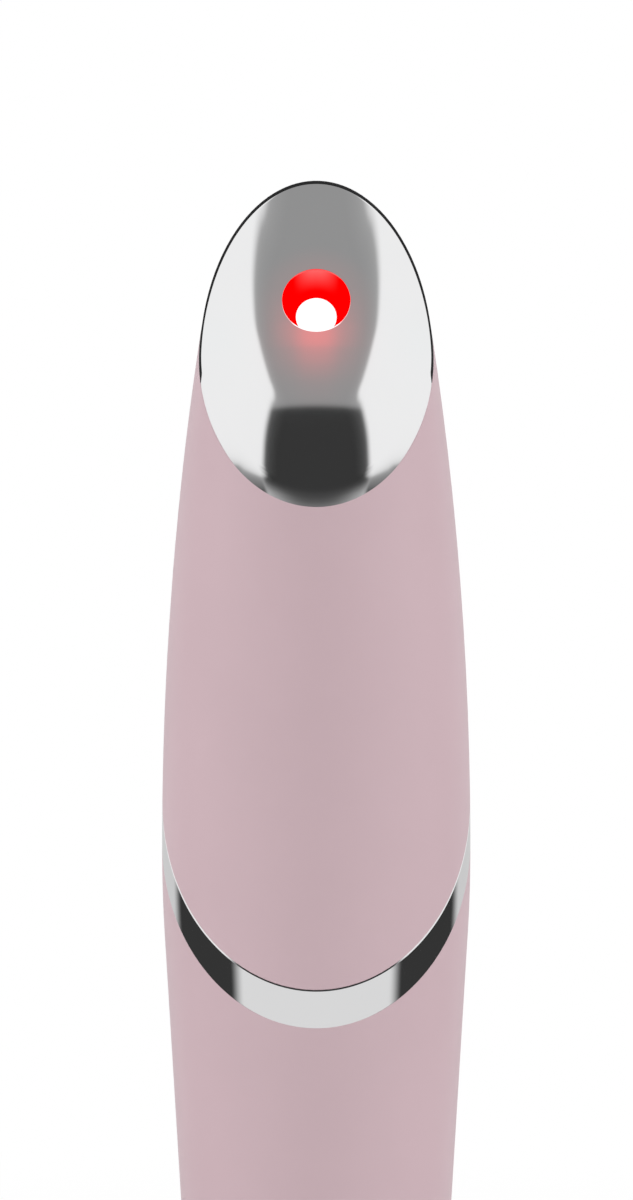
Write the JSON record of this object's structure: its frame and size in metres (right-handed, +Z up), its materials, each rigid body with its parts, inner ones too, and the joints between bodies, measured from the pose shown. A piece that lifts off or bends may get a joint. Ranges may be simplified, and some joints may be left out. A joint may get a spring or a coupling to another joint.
{
  "type": "heated eye massager wand",
  "caption": "Slender upright wand with a slanted domed metal massage head, a red-lit hole in it, a slanted metal ring, a sprung power button and a flat charging end.",
  "frame": {"origin": "centre of the flat bottom face of the end cap, on the body's axis", "axes": "+Z up along the wand's axis, -Y towards the slanted massage face and the button, +X to the right of someone looking at the face"},
  "size_m": [0.022, 0.022, 0.1298],
  "materials": {
    "pink_shell": "satin",
    "polished_metal": "mirror polished",
    "black_collar": "matte",
    "red_reflector": "lit red",
    "white_window": "frosted, lit",
    "silicone": "matte",
    "inner_plastic": "moulded",
    "board_green": "solder mask",
    "chip_black": "moulded",
    "steel": "plain",
    "weight_metal": "sintered",
    "battery_wrap": "shrink wrap",
    "foam": "foam",
    "heater_film": "polyimide",
    "lead_insulation": "smooth",
    "clear_plastic": "frosted"
  },
  "bodies": {
    "housing": {"lower_shell": "pink_shell", "upper_shell": "pink_shell", "end_cap": "pink_shell", "accent_ring": "polished_metal", "massage_head": "polished_metal", "insulating_collar": "black_collar", "light_cup": "red_reflector", "light_window": "white_window", "lamp_board": "board_green", "red_lamp": "clear_plastic", "collar_seal": "silicone", "end_cap_seal": "silicone", "motor_boot": "silicone", "joining_sleeve": "inner_plastic", "inner_chassis": "inner_plastic", "heater_film": "heater_film", "temperature_sensor": "chip_black", "battery_cell": "battery_wrap", "battery_pads": "foam", "motor_can": "steel", "motor_end_cap": "chip_black", "circuit_board": "board_green", "board_screws": "steel", "board_chips": "chip_black", "socket_shell": "steel", "socket_tongue": "chip_black", "switch_case": "chip_black", "status_light_pipe": "clear_plastic", "battery_leads": "lead_insulation", "motor_leads": "lead_insulation", "lamp_leads": "lead_insulation", "heater_leads": "lead_insulation"},
    "button": {"power_button": "polished_metal", "button_seal": "silicone"},
    "plunger": {"switch_plunger": "inner_plastic"},
    "rotor": {"motor_shaft": "steel", "eccentric_weight": "weight_metal"}
  },
  "joints": [
    {"name": "power_button_press", "type": "slide", "parent": "housing", "child": "button", "axis": [0, 1, 0], "range_m": [0, 0.0003], "stiffness_N_per_m": 1200},
    {"name": "switch_plunger_press", "type": "slide", "parent": "housing", "child": "plunger", "axis": [0, 1, 0], "range_m": [0, 0.0003]},
    {"name": "rotor_spin", "type": "hinge", "parent": "housing", "child": "rotor", "pos_m": [0, 0, 0.1123], "axis": [0, 0, 1], "continuous": true}
  ],
  "couplings": [
    {"joint": "switch_plunger_press", "follows": "power_button_press", "ratio": 1}
  ]
}
